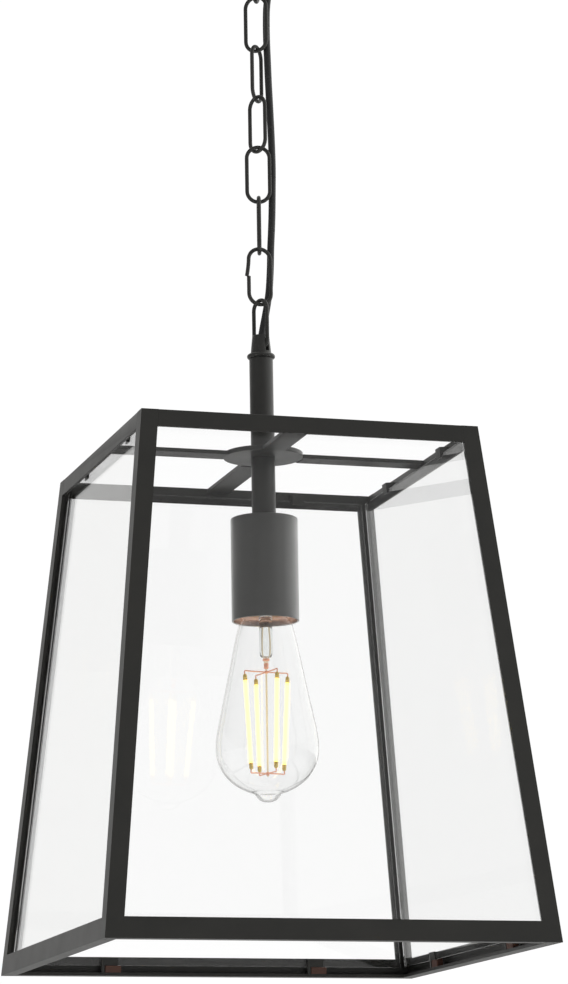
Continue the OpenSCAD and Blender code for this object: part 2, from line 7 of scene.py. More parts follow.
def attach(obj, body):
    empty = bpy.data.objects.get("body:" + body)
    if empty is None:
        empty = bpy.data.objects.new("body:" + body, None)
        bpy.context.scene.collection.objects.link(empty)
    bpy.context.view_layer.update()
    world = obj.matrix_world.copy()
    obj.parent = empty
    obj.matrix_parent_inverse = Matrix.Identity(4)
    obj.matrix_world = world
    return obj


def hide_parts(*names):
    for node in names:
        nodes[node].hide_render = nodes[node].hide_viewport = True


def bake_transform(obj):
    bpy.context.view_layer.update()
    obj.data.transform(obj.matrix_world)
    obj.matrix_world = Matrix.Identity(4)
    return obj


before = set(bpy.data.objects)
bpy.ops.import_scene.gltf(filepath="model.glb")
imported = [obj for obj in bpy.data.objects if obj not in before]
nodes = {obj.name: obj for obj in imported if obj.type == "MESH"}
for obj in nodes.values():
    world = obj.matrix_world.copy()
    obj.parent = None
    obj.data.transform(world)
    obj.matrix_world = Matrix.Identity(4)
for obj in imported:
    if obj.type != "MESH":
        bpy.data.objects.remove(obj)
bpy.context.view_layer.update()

MM = 0.001
scene = bpy.context.scene

# ---------- camera, at the photograph's viewing angle ----------

FORWARD = Vector((0.2843, 0.9351, 0.2117)).normalized()
ROLL = math.radians(-0.95)
PLACE = Vector((-610.1, -2051.7, -875.8))
SENSOR_H = 24
FOCAL_LENGTH = 85.268293
level_right = FORWARD.cross(Vector((0, 0, 1))).normalized()
level_up = level_right.cross(FORWARD)
right = level_right * math.cos(ROLL) + level_up * math.sin(ROLL)
up = level_up * math.cos(ROLL) - level_right * math.sin(ROLL)
camera_data = bpy.data.cameras.new("camera")
camera_data.sensor_fit = "VERTICAL"
camera_data.sensor_height = SENSOR_H
camera_data.lens = FOCAL_LENGTH
camera_data.clip_start = 0.05
camera_data.clip_end = 60
camera = bpy.data.objects.new("camera", camera_data)
scene.collection.objects.link(camera)
basis = Matrix((right, up, -FORWARD)).transposed().to_4x4()
camera.matrix_world = Matrix.Translation(PLACE * MM) @ basis
scene.camera = camera

# ---------- levels and sizes repeated from the CAD, in mm ----------

FIT = 0.05  # radial clearance round the rod and the cord

CANOPY_D, CANOPY_H, CANOPY_T = 100, 28.0, 1.2
CANOPY_ROUND = 6
ROD_D, ROD_BORE_D = 10, 7.6
NIPPLE_L = CANOPY_H + 5.5
GLAND_X, GLAND_Y, GLAND_L = 18, -1, 15
CORD_D = 4.6

WIRE_D = 2.5
LINK_GAP = 0.2
LINK_L, LINK_W = 39.0, 17.0
LINK_YAWS = [60, -40, 50, -65, -15, 75, 0]
PITCH = LINK_L - 2 * WIRE_D - LINK_GAP
LOOP_WIRE_D = 4
LOOP_FOOT_Z = -54.5  # lowest middle line of the canopy loop's wire
FIRST_LINK_Z = LOOP_FOOT_Z + (LOOP_WIRE_D + WIRE_D) / 2 + LINK_GAP
LAST_LINK_Z = FIRST_LINK_Z - (len(LINK_YAWS) - 1) * PITCH - LINK_L + WIRE_D

RING_L, RING_W, RING_YAW = 35.0, 15.0, -65
RING_TOP_Z = LAST_LINK_Z + WIRE_D + LINK_GAP
RING_RUN = RING_L - WIRE_D
RING_FOOT_Z = RING_TOP_Z - RING_RUN

CAP_FLOOR = 2.9  # from the ring's lowest middle line to the cap's foot
RING_REST = 0.4  # from the ring's wire to the rod's end
BEAD_D, BEAD_H = 17.8, 3
TUBE_D, TUBE_BORE_D = 15, 13
UPPER_TUBE_L, LOWER_TUBE_L = 61.5, 39
DISC_D, DISC_T = 50, 3
CUP_D, CUP_H, CUP_WALL = 42, 65, 1.2
CAP_FOOT_Z = RING_FOOT_Z - CAP_FLOOR
BEAD_FOOT_Z = CAP_FOOT_Z - BEAD_H
DISC_TOP_Z = BEAD_FOOT_Z - UPPER_TUBE_L
DISC_FOOT_Z = DISC_TOP_Z - DISC_T
CUP_TOP_Z = DISC_FOOT_Z - LOWER_TUBE_L
CUP_MOUTH_Z = CUP_TOP_Z - CUP_H
ROD_TOP_Z = RING_FOOT_Z - WIRE_D / 2 - RING_REST
ROD_FOOT_Z = CUP_MOUTH_Z + 42

SHELL_R, SHELL_T = 13.7, 0.7  # screw shell in the lampholder: inner radius and wall
SHELL_FOOT_Z, SHELL_TOP_Z = CUP_MOUTH_Z + 5, CUP_MOUTH_Z + 31
BULB_CAP_R, BULB_CAP_WALL = 13.2, 0.4
CAP_THREAD_FOOT_Z, CAP_THREAD_TOP_Z = CUP_MOUTH_Z + 6, CUP_MOUTH_Z + 28
BELLY_Z = CUP_MOUTH_Z - 80  # the bulb's widest level, from which the bulb's heights are counted
FILAMENT_D, FILAMENT_YAW, FILAMENT_COUNT = 2.4, 10, 4
FILAMENT_TOP, FILAMENT_FOOT = (14.7, 45), (11.3, -12)  # distance from the axis, and height

# ---------- material helpers ----------


def material(name):
    """A new material, its node tree, and its shader already joined to the output."""
    m = bpy.data.materials.new(name)
    m.use_nodes = True
    t = m.node_tree
    t.nodes.clear()
    out = t.nodes.new("ShaderNodeOutputMaterial")
    bsdf = t.nodes.new("ShaderNodeBsdfPrincipled")
    t.links.new(bsdf.outputs[0], out.inputs[0])
    return m, t, bsdf


def shader_of(m):
    return m.node_tree.nodes["Principled BSDF"]


def noise(t, scale, detail=4, rough=0.55, stretch=None):
    where = t.nodes.new("ShaderNodeTexCoord").outputs["Object"]
    if stretch:
        mapping = t.nodes.new("ShaderNodeMapping")
        mapping.inputs["Scale"].default_value = stretch
        t.links.new(where, mapping.inputs["Vector"])
        where = mapping.outputs[0]
    n = t.nodes.new("ShaderNodeTexNoise")
    n.inputs["Scale"].default_value = scale
    n.inputs["Detail"].default_value = detail
    n.inputs["Roughness"].default_value = rough
    t.links.new(where, n.inputs["Vector"])
    return n.outputs["Fac"]


def ramp(t, fac, stops):
    r = t.nodes.new("ShaderNodeValToRGB")
    e = r.color_ramp.elements
    while len(e) < len(stops):
        e.new(0.5)
    for item, (at, colour) in zip(e, stops):
        item.position = at
        item.color = (*colour, 1)
    t.links.new(fac, r.inputs[0])
    return r.outputs[0]


def spread(t, fac, low, high):
    r = t.nodes.new("ShaderNodeMapRange")
    r.inputs["To Min"].default_value = low
    r.inputs["To Max"].default_value = high
    t.links.new(fac, r.inputs[0])
    return r.outputs[0]


def bump(t, bsdf, height, strength, distance):
    b = t.nodes.new("ShaderNodeBump")
    b.inputs["Strength"].default_value = strength
    b.inputs["Distance"].default_value = distance * MM
    t.links.new(height, b.inputs["Height"])
    t.links.new(b.outputs[0], bsdf.inputs["Normal"])


def coated(name, dark, light, rough=(0.38, 0.5), grain=2200, strength=0.05, specular=0.5):
    """Painted or moulded surface: cloudy colour, uneven gloss and a fine orange-peel grain."""
    m, t, bsdf = material(name)
    t.links.new(ramp(t, noise(t, 30, 6), [(0.3, dark), (0.7, light)]), bsdf.inputs["Base Color"])
    t.links.new(spread(t, noise(t, 60, 5), *rough), bsdf.inputs["Roughness"])
    bsdf.inputs["Specular IOR Level"].default_value = specular
    bump(t, bsdf, noise(t, grain, 3), strength, 0.03)
    return m


def brushed(name, dark, light, stretch=(1, 1, 30), rough=(0.25, 0.42)):
    """Bare metal with fine drawn lines."""
    m, t, bsdf = material(name)
    lines = noise(t, 300, 5, 0.6, stretch)
    t.links.new(ramp(t, lines, [(0.3, dark), (0.7, light)]), bsdf.inputs["Base Color"])
    t.links.new(spread(t, lines, *rough), bsdf.inputs["Roughness"])
    bsdf.inputs["Metallic"].default_value = 1
    bump(t, bsdf, lines, 0.15, 0.05)
    return m


def clear_glass(name, tint, rough=0.0, ripple=0.02):
    """Clear glass with a very faint tint and a slow ripple."""
    m, t, bsdf = material(name)
    soft = noise(t, 6, 2)
    t.links.new(ramp(t, soft, [(0.2, tint), (0.8, tuple(min(1, c + 0.01) for c in tint))]),
                bsdf.inputs["Base Color"])
    bsdf.inputs["Roughness"].default_value = rough
    bsdf.inputs["IOR"].default_value = 1.45
    bsdf.inputs["Transmission Weight"].default_value = 1
    bump(t, bsdf, soft, ripple, 0.3)
    return m


def glowing(name, middle, end, low_z, high_z, strength):
    """Lit filament: one colour along its middle and another at its two ends."""
    m, t, bsdf = material(name)
    where = t.nodes.new("ShaderNodeTexCoord").outputs["Object"]
    split = t.nodes.new("ShaderNodeSeparateXYZ")
    t.links.new(where, split.inputs[0])
    along = t.nodes.new("ShaderNodeMapRange")
    along.inputs["From Min"].default_value = low_z * MM
    along.inputs["From Max"].default_value = high_z * MM
    t.links.new(split.outputs["Z"], along.inputs[0])
    colour = ramp(t, along.outputs[0], [(0.0, end), (0.09, middle), (0.91, middle), (1.0, end)])
    t.links.new(colour, bsdf.inputs["Base Color"])
    t.links.new(colour, bsdf.inputs["Emission Color"])
    bsdf.inputs["Emission Strength"].default_value = strength
    bsdf.inputs["Roughness"].default_value = 0.6
    bump(t, bsdf, noise(t, 2500, 2), 0.2, 0.05)
    return m


black = coated("black_paint", (0.016, 0.016, 0.014), (0.023, 0.022, 0.019))
cup_paint = coated("cup_paint", (0.038, 0.038, 0.035), (0.05, 0.05, 0.046), (0.28, 0.36),
                   specular=0.95)
shader_of(cup_paint).inputs["Coat Weight"].default_value = 1
shader_of(cup_paint).inputs["Coat Roughness"].default_value = 0.3
stem_paint = coated("stem_paint", (0.028, 0.028, 0.026), (0.038, 0.037, 0.034), (0.3, 0.4))
chain_paint = coated("chain_paint", (0.022, 0.022, 0.02), (0.034, 0.033, 0.03), (0.35, 0.5))
zinc = brushed("zinc", (0.45, 0.45, 0.45), (0.65, 0.65, 0.64))
nickel = brushed("nickel", (0.78, 0.52, 0.4), (0.95, 0.7, 0.55), (1, 1, 8), (0.18, 0.3))
brass = brushed("brass", (0.62, 0.42, 0.18), (0.8, 0.58, 0.3))
copper = brushed("copper", (0.65, 0.3, 0.18), (0.8, 0.42, 0.27))
jacket = coated("cord_jacket", (0.016, 0.016, 0.016), (0.026, 0.026, 0.026), (0.4, 0.55),
                900, 0.2)
moulding = coated("black_moulding", (0.02, 0.02, 0.02), (0.03, 0.03, 0.03), (0.45, 0.6))
white_moulding = coated("white_moulding", (0.62, 0.6, 0.52), (0.72, 0.7, 0.62), (0.4, 0.55))
porcelain = coated("porcelain", (0.72, 0.5, 0.38), (0.82, 0.6, 0.47), (0.25, 0.4), 1500)
pad_rubber = coated("pad_rubber", (0.07, 0.028, 0.018), (0.1, 0.042, 0.028), (0.55, 0.75),
                    1500, 0.2)
core_jacket = coated("core_jacket", (0.4, 0.36, 0.26), (0.52, 0.47, 0.36), (0.35, 0.5))
pane_glass = clear_glass("pane_glass", (0.996, 0.998, 0.996))
bulb_glass = clear_glass("bulb_glass", (0.995, 0.997, 0.995), ripple=0.05)
stem_glass = clear_glass("stem_glass", (0.93, 0.95, 0.94), rough=0.05)
rod_glass = coated("rod_glass", (0.62, 0.6, 0.5), (0.74, 0.72, 0.62), (0.15, 0.25), 2000, 0.03)
filament = glowing("filament", (1.0, 0.74, 0.2), (0.9, 0.36, 0.06),
                   BELLY_Z + FILAMENT_FOOT[1], BELLY_Z + FILAMENT_TOP[1], 3.1)
cup_inside = brushed("cup_inside", (0.66, 0.6, 0.56), (0.85, 0.8, 0.76), (1, 1, 10), (0.2, 0.32))
gold_wire = brushed("gold_wire", (0.45, 0.33, 0.1), (0.62, 0.48, 0.18))

# Painted glow: what stands near the lit filaments emits a little warm light of its own, standing
# in for the filaments' light falling on it
for m, colour, painted_glow in ((porcelain, (1.0, 0.58, 0.42), 0.3), (nickel, (1.0, 0.62, 0.48), 0.15),
                        (rod_glass, (1.0, 0.82, 0.55), 0.4), (copper, (1.0, 0.5, 0.36), 0.28),
                        (gold_wire, (1.0, 0.68, 0.12), 0.2)):
    # painted glow: the emission colour and strength stand in for lamp light on a part that is not
    # a lamp
    shader_of(m).inputs["Emission Color"].default_value = (*colour, 1)
    shader_of(m).inputs["Emission Strength"].default_value = painted_glow

# ---------- mesh helpers, all in mm ----------


def piece(name, verts, faces, mat, body, *stands_for, smooth=True, slot=None):
    """Visible piece from a mesh in mm, riding on a body and standing for CAD nodes."""
    mesh = bpy.data.meshes.new(name)
    mesh.from_pydata([Vector(v) * MM for v in verts], [], faces)
    mesh.update()
    mesh.materials.append(mat)
    for p in mesh.polygons:
        p.use_smooth = smooth
    o = bpy.data.objects.new(name, mesh)
    scene.collection.objects.link(o)
    if body:
        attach(o, body)
    if stands_for:
        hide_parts(*stands_for)
    return o


def ring_faces(rings, sides, closed):
    """Faces between rings of points that follow one another."""
    faces = []
    for i in range(rings if closed else rings - 1):
        a, b = i * sides, (i + 1) % rings * sides
        for k in range(sides):
            n = (k + 1) % sides
            faces.append((a + k, a + n, b + n, b + k))
    return faces


def sweep(path, radius, sides=16, closed=False):
    """Round tube along points; radius is a number or a function of the point's number."""
    count = len(path)
    path = [Vector(p) for p in path]
    tangents = []
    for i in range(count):
        a = path[(i - 1) % count] if closed else path[max(i - 1, 0)]
        b = path[(i + 1) % count] if closed else path[min(i + 1, count - 1)]
        tangents.append((b - a).normalized())
    side = tangents[0].orthogonal().normalized()
    verts = []
    for i in range(count):
        side = (side - tangents[i] * side.dot(tangents[i])).normalized()
        other = tangents[i].cross(side)
        r = radius(i) if callable(radius) else radius
        for k in range(sides):
            a = 2 * math.pi * k / sides
            verts.append(path[i] + (side * math.cos(a) + other * math.sin(a)) * r)
    faces = ring_faces(count, sides, closed)
    if not closed:
        faces.append(tuple(range(sides - 1, -1, -1)))
        faces.append(tuple(range((count - 1) * sides, count * sides)))
    return verts, faces


def turned(profile, sides=96, closed=True):
    """Solid of revolution about Z from points of radius and height; closed joins last to first."""
    angles = [2 * math.pi * k / sides for k in range(sides)]
    verts, rows = [], []
    for r, z in profile:
        if r < 1e-6:
            rows.append([len(verts)] * sides)
            verts.append((0, 0, z))
        else:
            rows.append(list(range(len(verts), len(verts) + sides)))
            verts += [(r * math.cos(a), r * math.sin(a), z) for a in angles]
    faces = []
    for i in range(len(rows) if closed else len(rows) - 1):
        a, b = rows[i], rows[(i + 1) % len(rows)]
        for k in range(sides):
            n = (k + 1) % sides
            f = []
            for v in (a[k], b[k], b[n], a[n]):
                if v not in f:
                    f.append(v)
            if len(f) > 2:
                faces.append(tuple(f))
    return verts, faces


def arc(centre_r, centre_z, radius, angles):
    """Points of radius and height round a centre, at angles in degrees."""
    return [(centre_r + radius * math.cos(math.radians(a)),
             centre_z + radius * math.sin(math.radians(a))) for a in angles]


def rounded(points, radius, steps=4):
    """Closed outline with each corner rounded by up to that radius."""
    out, count = [], len(points)
    for i in range(count):
        p, a, b = (Vector(points[j % count]) for j in (i, i - 1, i + 1))
        to_a, to_b = a - p, b - p
        if min(to_a.length, to_b.length) < 1e-6:
            continue
        r = min(radius, to_a.length * 0.45, to_b.length * 0.45)
        start, end = p + to_a.normalized() * r, p + to_b.normalized() * r
        for s in range(steps + 1):
            u = s / steps
            out.append(tuple(start * (1 - u) ** 2 + p * 2 * u * (1 - u) + end * u ** 2))
    return out


def spline(points, step):
    """Smooth curve through points, sampled about every step mm."""
    points = [Vector(p) for p in points]
    out = []
    for i in range(len(points) - 1):
        p0, p1 = points[max(i - 1, 0)], points[i]
        p2, p3 = points[i + 1], points[min(i + 2, len(points) - 1)]
        count = max(2, round((p2 - p1).length / step))
        for s in range(count):
            u = s / count
            out.append(0.5 * (2 * p1 + (p2 - p0) * u + (2 * p0 - 5 * p1 + 4 * p2 - p3) * u ** 2
                              + (3 * p1 - p0 - 3 * p2 + p3) * u ** 3))
    out.append(points[-1])
    return out


def turn_z(points, degrees):
    spin = Matrix.Rotation(math.radians(degrees), 3, "Z")
    return [spin @ Vector(p) for p in points]


def smooth_cad(name, mat, bevel=0.0, segments=3):
    """Better surface on a CAD node that stays: a material, and rounded edges if bevel isn't 0."""
    o = nodes[name]
    o.data.materials.clear()
    o.data.materials.append(mat)
    if bevel:
        weld = o.modifiers.new("weld", "WELD")
        weld.merge_threshold = 0.00001
        b = o.modifiers.new("bevel", "BEVEL")
        b.width = bevel * MM
        b.segments = segments
        b.limit_method = "ANGLE"
        b.angle_limit = math.radians(30)
        b.harden_normals = True


# ---------- cord ----------

# The route comes down through the gland, then beside the chain: n counts link pitches from the
# first link's top, and then lengths of the loop ring from its top
ROUTE = [(GLAND_X, GLAND_Y, -CANOPY_H + rise) for rise in (8, -4, -GLAND_L)]
ROUTE += [(x, y, FIRST_LINK_Z - n * PITCH) for x, y, n in (
    (16.5, -1, 0.1), (12.6, -1, 0.47), (9, -0.9, 0.83), (7.2, -0.7, 1.18), (6.8, -0.5, 1.54),
    (6.9, -0.3, 1.9), (7.4, 0.1, 2.28), (7.8, 0.3, 2.66), (8.5, 0.6, 3.13), (9.2, 0.9, 3.64),
    (9.6, 1.1, 4.02), (9.8, 1.3, 4.41), (9.6, 1.6, 4.85), (9.3, 2, 5.3), (9, 2.8, 5.62),
    (8.6, 3.6, 5.95), (8.2, 4, 6.36), (7.3, 4.1, 6.75), (6, 4.1, 7.02))]
ROUTE += [(x, y, RING_TOP_Z - n * RING_RUN) for x, y, n in (
    (4.4, 3.4, 0.26), (2.4, 1.7, 0.5), (0.8, 0.5, 0.72))]
ROUTE += [(0, 0, RING_FOOT_Z + 2.15)]
cord_line = spline(ROUTE, 1.5)

# The cord is made in stretches, each cut halfway between two joints of the chain so that it spans
# one joint
hinge_z = [LOOP_FOOT_Z]
hinge_z += [FIRST_LINK_Z - i * PITCH - LINK_L + WIRE_D for i in range(len(LINK_YAWS))]
cuts = [(a + b) / 2 for a, b in zip(hinge_z, hinge_z[1:])]
stretches, current, cut = [], [], 0
for p in cord_line:
    current.append(p)
    if cut < len(cuts) and p.z < cuts[cut]:
        stretches.append(current)
        current = [p]
        cut += 1
stretches.append(current)
for i, line in enumerate(stretches):
    verts, faces = sweep(line, CORD_D / 2, 20)
    cord = piece("cord_%d" % (i + 1), verts, faces, jacket, None)
    z = hinge_z[i]
    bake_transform(cord)
    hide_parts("cord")

# ---------- chain ----------

HALF_TURN, LEG = 20, 40  # steps in each round end of a link and in each straight leg


def oval(outer_l, outer_w):
    """Closed centre line of a link in the XZ plane, its top wire's middle at z = 0."""
    r = (outer_w - WIRE_D) / 2
    foot = -outer_l + WIRE_D + r
    half = [math.pi * k / HALF_TURN for k in range(HALF_TURN + 1)]
    line = [(r * math.cos(a), 0, -r + r * math.sin(a)) for a in half]
    line += [(-r, 0, -r + (foot + r) * k / LEG) for k in range(1, LEG)]
    line += [(r * math.cos(math.pi + a), 0, foot + r * math.sin(math.pi + a)) for a in half]
    line += [(r, 0, foot - (foot + r) * k / LEG) for k in range(1, LEG)]
    return [Vector(q) for q in line]


def link_piece(name, top_z, yaw, outer_l, outer_w, body, seam_side, step=0.0):
    """Bent wire link whose two cut ends meet halfway up one leg; step moves the upper end out."""
    line = oval(outer_l, outer_w)
    half_leg = LEG // 2
    seam = HALF_TURN + half_leg if seam_side < 0 else 2 * HALF_TURN + LEG + half_leg
    line = line[seam:] + line[:seam + 1]
    if seam_side < 0:
        upper = range(len(line) - half_leg, len(line))
    else:
        upper = range(half_leg - 1, -1, -1)
    for k, i in enumerate(upper):
        line[i] = line[i] + Vector((seam_side * step * ((k + 1) / half_leg) ** 1.5, 0, 0))
    # Each cut end is narrowed a little
    line.insert(1, line[0].lerp(line[1], 0.3))
    line.insert(-1, line[-1].lerp(line[-2], 0.3))
    last = len(line) - 1
    verts, faces = sweep(line, lambda i: WIRE_D / 2 * (0.84 if i in (0, last) else 1), 20)
    verts = [v + Vector((0, 0, top_z)) for v in turn_z(verts, yaw)]
    piece(name + "_wire", verts, faces, chain_paint, body, name, slot="black_metal")


SEAMS = [1, -1, 1, -1, 1, -1, -1]  # which leg of each link has the seam
STEPS = [0.0] * 6 + [1.3]  # how far each link's two ends are out of line
for i, yaw in enumerate(LINK_YAWS):
    link_piece("link_%d" % (i + 1), FIRST_LINK_Z - i * PITCH, yaw, LINK_L, LINK_W,
               "link_%d" % (i + 1), SEAMS[i], STEPS[i])
link_piece("loop_ring", RING_TOP_Z, RING_YAW, RING_L, RING_W, "lantern", 1)

# ---------- ceiling fitting ----------

canopy_r = CANOPY_D / 2
round_r, round_z = canopy_r - CANOPY_ROUND, -CANOPY_H + CANOPY_ROUND
outside = [(canopy_r - 0.4, 0), (canopy_r, -0.6)]
outside += arc(round_r, round_z, CANOPY_ROUND, range(0, -91, -6))
inside = arc(round_r, round_z, CANOPY_ROUND - CANOPY_T, range(-90, 1, 6))
inside += [(canopy_r - CANOPY_T, 0)]
hole = [(ROD_D / 2 + 0.1, -CANOPY_H), (ROD_D / 2 + 0.1, -CANOPY_H + CANOPY_T)]
verts, faces = turned(outside + hole + inside, 160)
piece("canopy_shell", verts, faces, black, "ceiling", "canopy", slot="black_metal")
smooth_cad("canopy_loop", chain_paint)
smooth_cad("ceiling_bracket", zinc, 0.3)
smooth_cad("lock_nut", zinc, 0.3)
smooth_cad("block_screws", brass)
smooth_cad("terminal_block", white_moulding, 0.6)
smooth_cad("canopy_cores", core_jacket)


def threaded(name, top_z, foot_z, body, node):
    """Hollow rod with rings of thread."""
    pitch, depth = 1.0, 0.35
    crest, root, bore = ROD_D / 2, ROD_D / 2 - depth, ROD_BORE_D / 2
    profile, z = [(bore, foot_z), (root, foot_z)], foot_z + 0.3
    while z + pitch < top_z:
        profile += [(root, z), (crest, z + pitch * 0.4), (crest, z + pitch * 0.6)]
        z += pitch
    profile += [(root, top_z), (bore, top_z)]
    verts, faces = turned(profile, 48)
    piece(name, verts, faces, zinc, body, node, smooth=False, slot="zinc")


threaded("nipple_thread", 0, -NIPPLE_L, "ceiling", "mount_nipple")

# The gland: a threaded neck in the canopy, a flange, and a ribbed sleeve that narrows downwards
bore, neck_r, neck_l = CORD_D / 2 + FIT, 4.6, 6
flange_r, flange_foot_z = 7, -CANOPY_H - 3
sleeve_r, sleeve_foot_r, sleeve_l = 6, 4, 12
rib, rib_count = 1.3, 9
gland = [(bore, -CANOPY_H + neck_l), (neck_r, -CANOPY_H + neck_l), (neck_r, -CANOPY_H),
         (flange_r - 0.2, -CANOPY_H), (flange_r, -CANOPY_H - 0.4), (flange_r, flange_foot_z + 0.4),
         (flange_r - 0.2, flange_foot_z), (sleeve_r, flange_foot_z)]
for k in range(rib_count):
    z = flange_foot_z - k * rib
    r = sleeve_r - (sleeve_r - sleeve_foot_r) * (k * rib) / sleeve_l
    gland += [(r - 0.05, z - 0.25), (r - 0.5, z - 0.5), (r - 0.5, z - 0.9), (r - 0.18, z - 1.15)]
gland_foot_z = -CANOPY_H - GLAND_L
gland += [(3.9, gland_foot_z + 0.2), (3.6, gland_foot_z), (bore, gland_foot_z)]
verts, faces = turned(gland, 48)
verts = [(x + GLAND_X, y + GLAND_Y, z) for x, y, z in verts]
piece("gland_sleeve", verts, faces, moulding, "ceiling", "cord_gland", smooth=False,
      slot="black_plastic")

# ---------- stem ----------

smooth_cad("loop_cap", stem_paint, 0.25)


def turned_piece(name, outline, corner, mat, node, slot_name, sides=96):
    verts, faces = turned(rounded(outline, corner), sides)
    return piece(name, verts, faces, mat, "lantern", node, slot=slot_name)


def band(inner_r, outer_r, foot_z, top_z):
    """Outline of a ring or tube, from its inner foot round to its inner top."""
    return [(inner_r, foot_z), (outer_r, foot_z), (outer_r, top_z), (inner_r, top_z)]


on_rod = ROD_D / 2 + FIT
bead_r = BEAD_H / 2
round_r = BEAD_D / 2 - bead_r
bead = [(on_rod, BEAD_FOOT_Z), (round_r, BEAD_FOOT_Z)]
bead += arc(round_r, BEAD_FOOT_Z + bead_r, bead_r, range(-80, 81, 16))
bead += [(round_r, CAP_FOOT_Z), (on_rod, CAP_FOOT_Z)]
verts, faces = turned(bead, 96)
piece("bead_ring", verts, faces, stem_paint, "lantern", "bead_collar", slot="black_metal")
turned_piece("upper_sleeve", band(TUBE_BORE_D / 2, TUBE_D / 2, DISC_TOP_Z, BEAD_FOOT_Z), 0.3,
             stem_paint, "upper_tube", "black_metal")
turned_piece("lower_sleeve", band(TUBE_BORE_D / 2, TUBE_D / 2, CUP_TOP_Z, DISC_FOOT_Z), 0.3,
             stem_paint, "lower_tube", "black_metal")
turned_piece("disc_plate", band(on_rod, DISC_D / 2, DISC_FOOT_Z, DISC_TOP_Z), 0.5, stem_paint,
             "centre_disc", "black_metal", 128)
threaded("rod_thread", ROD_TOP_Z, ROD_FOOT_Z, "lantern", "stem_rod")

# ---------- frame, panes, clips ----------

for corner in ("front_right", "back_right", "back_left", "front_left"):
    smooth_cad("post_" + corner, black, 0.7)
for side in ("front", "right", "back", "left"):
    smooth_cad("top_rail_" + side, black, 0.35)
    smooth_cad("bottom_rail_" + side, black, 0.35)
    smooth_cad("pane_" + side, pane_glass, 0.3, 2)
for name in ("cross_bars_left_right", "cross_bars_front_back"):
    smooth_cad(name, black, 0.3)
for name in ("top_clips", "bottom_clips"):
    smooth_cad(name, black, 0.2, 2)
smooth_cad("glass_pads", pad_rubber, 0.4)

# ---------- lampholder ----------

cup_r, cup_inner_r = CUP_D / 2, CUP_D / 2 - CUP_WALL
cup_roof_z = CUP_TOP_Z - CUP_WALL
cup = turned_piece("cup_shell", [(cup_inner_r, CUP_MOUTH_Z), (cup_r, CUP_MOUTH_Z),
                                 (cup_r, CUP_TOP_Z), (on_rod, CUP_TOP_Z), (on_rod, cup_roof_z),
                                 (cup_inner_r, cup_roof_z)],
                   0.8, cup_paint, "lampholder_cup", "dark_metal", 128)
# The cup is bare metal inside
cup.data.materials.append(cup_inside)
middle_r, below_roof_z = (cup_inner_r + 0.5) * MM, (cup_roof_z + 0.1) * MM
for p in cup.data.polygons:
    if math.hypot(p.center.x, p.center.y) < middle_r and p.center.z < below_roof_z:
        p.material_index = 1
smooth_cad("cup_nut", zinc, 0.3)
smooth_cad("lampholder_body", porcelain, 0.5)
smooth_cad("centre_contact", brass, 0.2)
smooth_cad("terminal_screws", brass, 0.1)
smooth_cad("stem_cores", core_jacket)


def wavy_sleeve(name, outer_r, inner_r, foot_z, top_z, wave, turns, mat, body, node, slot_name,
                wave_in=True):
    """Thin sleeve rolled with a round screw thread; with wave_in, the thread is sunk into it."""
    steps_per_turn = 10
    steps = steps_per_turn * turns
    outer, inner = [], []
    for i in range(steps + 1):
        z = foot_z + (top_z - foot_z) * i / steps
        w = wave * (0.5 - 0.5 * math.cos(2 * math.pi * i / steps_per_turn))
        outer.append((outer_r - (w if wave_in else 0), z))
        inner.append((inner_r - w if wave_in else inner_r + w, z))
    verts, faces = turned(outer + inner[::-1], 96)
    piece(name, verts, faces, mat, body, node, slot=slot_name)


wavy_sleeve("shell_thread", SHELL_R + SHELL_T, SHELL_R, SHELL_FOOT_Z, SHELL_TOP_Z, 0.5, 7, brass,
            "lantern", "screw_shell", "brass", wave_in=False)

# ---------- bulb ----------

wavy_sleeve("cap_thread", BULB_CAP_R, BULB_CAP_R - BULB_CAP_WALL, CAP_THREAD_FOOT_Z,
            CAP_THREAD_TOP_Z, 0.8, 6, nickel, "bulb", "bulb_cap", "nickel")
smooth_cad("cap_insulator", moulding)
smooth_cad("cap_contact", brass)


def bulb_line(wall):
    """Half outline of the bulb's glass, from the neck to the tip, drawn inwards by a wall."""
    belly_r, shoulder_arc_r, cone_angle = 32, 62, 11.7
    side_arc_r, side_angle = 26.5, 50
    tip_r, tip_h = 8, 5.3
    rim_r, rim_z = 17.35, 77.2  # where the flared neck meets the straight cone
    turn = math.radians(side_angle)
    base_arc_r = (belly_r - side_arc_r) / math.cos(turn) + side_arc_r
    base_c = (side_arc_r - base_arc_r) * math.sin(turn)
    tip_z = -base_c - base_arc_r + 1.0

    neck = [(12.6, 86), (12.6, 84.6), (13.0, 83.6), (14.2, 81.9), (15.7, 79.7), (16.9, 77.7)]
    line = [(r - wall, z) for r, z in neck]
    shoulder = arc(belly_r - shoulder_arc_r, 0, shoulder_arc_r - wall,
                   [cone_angle * (1 - k / 6) for k in range(7)])
    end_r, end_z = shoulder[0]
    for k in range(1, 9):
        line.append((rim_r - wall + (end_r + wall - rim_r) * k / 9,
                     rim_z + (end_z - rim_z) * k / 9))
    line += shoulder
    line += arc(belly_r - side_arc_r, 0, side_arc_r - wall,
                [-side_angle * k / 12 for k in range(1, 13)])
    line += arc(0, -base_c, base_arc_r - wall, [-side_angle - 27 * k / 8 for k in range(1, 8)])
    for k in range(1, 13):
        a = math.radians(90 * k / 12)
        line.append(((tip_r - wall) * math.cos(a) ** 0.9 if k < 12 else 0,
                     tip_z + wall - tip_h * math.sin(a) ** 1.2))
    return [(r, z + BELLY_Z) for r, z in line]


BULB_WALL = 1
verts, faces = turned(bulb_line(0) + bulb_line(BULB_WALL)[::-1], 128)
piece("bulb_envelope", verts, faces, bulb_glass, "bulb", "bulb_glass", slot="bulb_glass")
